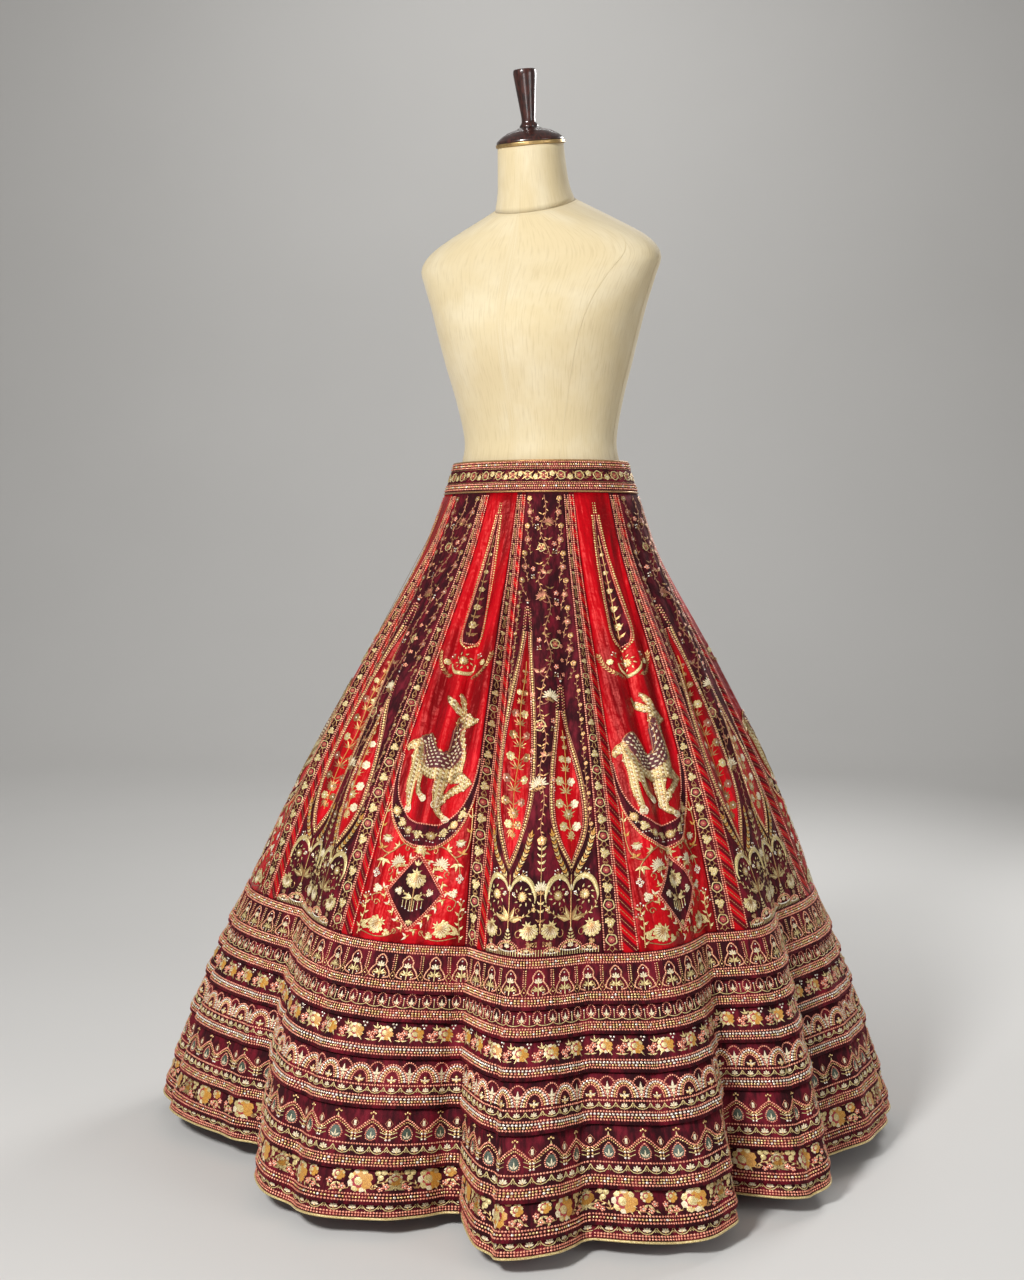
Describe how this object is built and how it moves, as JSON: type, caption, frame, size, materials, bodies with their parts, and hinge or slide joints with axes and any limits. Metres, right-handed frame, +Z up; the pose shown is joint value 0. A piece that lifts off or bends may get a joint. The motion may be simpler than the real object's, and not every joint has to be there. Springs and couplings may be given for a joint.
{
  "type": "lehenga skirt on a dress form",
  "caption": "Full-length panelled lehenga skirt of maroon velvet and red satin gores over a tiered embroidered border, with its waistband, worn by a limbless dress form on a round stand.",
  "frame": {"origin": "middle of the stand's underside, on the floor", "axes": "+Z up along the pole, -Y to the skirt's front, +X to the right as seen from the front"},
  "size_m": [1.1267, 1.1213, 1.5992],
  "materials": {
    "maroon_velvet": "velvet pile",
    "rose_strip": "velvet pile",
    "striped_satin": "satin",
    "red_satin": "satin",
    "gold_thread": "metallic thread",
    "gold_beads": "polished beads",
    "white_beads": "gloss",
    "silk_thread": "silk floss",
    "piping": "satin cord",
    "lining": "matt",
    "linen": "matt",
    "brass": "worn",
    "dark_wood": "polished",
    "steel": "satin black"
  },
  "bodies": {
    "root": {"waistband_front": "maroon_velvet", "waistband_back": "maroon_velvet", "velvet_gore_1": "maroon_velvet", "rose_strip_a_1": "rose_strip", "leheriya_strip_a_1": "striped_satin", "satin_gore_1": "red_satin", "rose_strip_b_1": "rose_strip", "leheriya_strip_b_1": "striped_satin", "velvet_gore_2": "maroon_velvet", "rose_strip_a_2": "rose_strip", "leheriya_strip_a_2": "striped_satin", "satin_gore_2": "red_satin", "rose_strip_b_2": "rose_strip", "leheriya_strip_b_2": "striped_satin", "velvet_gore_3": "maroon_velvet", "rose_strip_a_3": "rose_strip", "leheriya_strip_a_3": "striped_satin", "satin_gore_3": "red_satin", "rose_strip_b_3": "rose_strip", "leheriya_strip_b_3": "striped_satin", "velvet_gore_4": "maroon_velvet", "rose_strip_a_4": "rose_strip", "leheriya_strip_a_4": "striped_satin", "satin_gore_4": "red_satin", "rose_strip_b_4": "rose_strip", "leheriya_strip_b_4": "striped_satin", "velvet_gore_5": "maroon_velvet", "rose_strip_a_5": "rose_strip", "leheriya_strip_a_5": "striped_satin", "satin_gore_5": "red_satin", "rose_strip_b_5": "rose_strip", "leheriya_strip_b_5": "striped_satin", "velvet_gore_6": "maroon_velvet", "rose_strip_a_6": "rose_strip", "leheriya_strip_a_6": "striped_satin", "satin_gore_6": "red_satin", "rose_strip_b_6": "rose_strip", "leheriya_strip_b_6": "striped_satin", "tier_1_arches": "maroon_velvet", "tier_2_small_arches": "maroon_velvet", "tier_3_roses": "maroon_velvet", "tier_4_scallops": "maroon_velvet", "tier_5_peaks": "maroon_velvet", "tier_6_large_roses": "maroon_velvet", "tier_7_hem": "maroon_velvet", "form_torso": "linen", "form_neck": "linen", "form_neck_rim": "brass", "form_neck_cap": "dark_wood", "form_handle": "dark_wood", "form_underplate": "dark_wood", "stand_pole": "steel", "stand_socket": "steel", "stand_base": "steel"}
  },
  "joints": []
}
